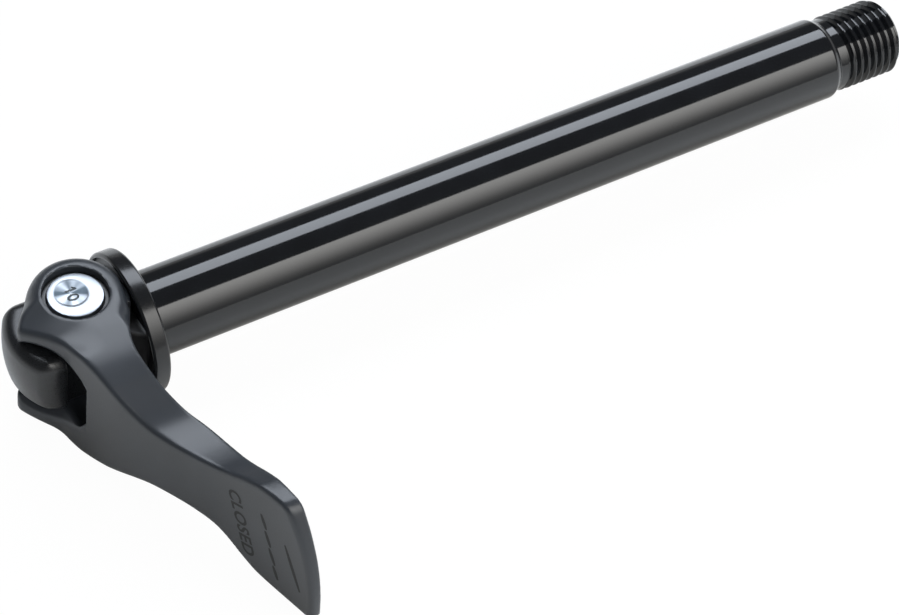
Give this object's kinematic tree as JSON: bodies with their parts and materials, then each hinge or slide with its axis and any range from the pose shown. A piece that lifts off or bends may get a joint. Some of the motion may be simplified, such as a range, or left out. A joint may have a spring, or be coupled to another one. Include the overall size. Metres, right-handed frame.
{
  "type": "bicycle thru axle",
  "caption": "Front wheel thru axle: hollow shaft with a threaded end, clamping flange and a folding forked cam lever.",
  "frame": {"origin": "centre of the flange's clamping face, on the axle's axis", "axes": "+X along the axle from the lever to the threaded end, +Z along the lever's pivot pin, the closed lever points to -Y"},
  "size_m": [0.1766, 0.0727, 0.026],
  "materials": {
    "gloss_black_anodised": "gloss black anodised, drawn and polished",
    "satin_black_anodised": "satin black anodised",
    "lever_coating": "satin charcoal anodised over a forged, blasted surface",
    "pin_steel": "turned, plated bright",
    "spring_steel": "bright spring strip",
    "saddle_plastic": "moulded black acetal",
    "bushing_plastic": "moulded black bearing plastic"
  },
  "bodies": {
    "axle": {"axle_shaft": "gloss_black_anodised", "pivot_head": "satin_black_anodised", "pivot_pin": "pin_steel", "wave_spring": "spring_steel"},
    "cam_lever": {"lever": "lever_coating", "upper_bushing": "bushing_plastic", "lower_bushing": "bushing_plastic"},
    "follower": {"clamp_flange": "satin_black_anodised", "cam_saddle": "saddle_plastic"}
  },
  "joints": [
    {"name": "lever_hinge", "type": "hinge", "parent": "axle", "child": "cam_lever", "pos_m": [-0.0115, 0, 0], "axis": [0, 0, -1], "range_deg": [0, 135]},
    {"name": "flange_slide", "type": "slide", "parent": "axle", "child": "follower", "axis": [-1, 0, 0], "range_m": [0, 0.0008]}
  ],
  "couplings": [
    {"joint": "flange_slide", "follows": "lever_hinge", "m_per_rad": 0.00033953}
  ]
}
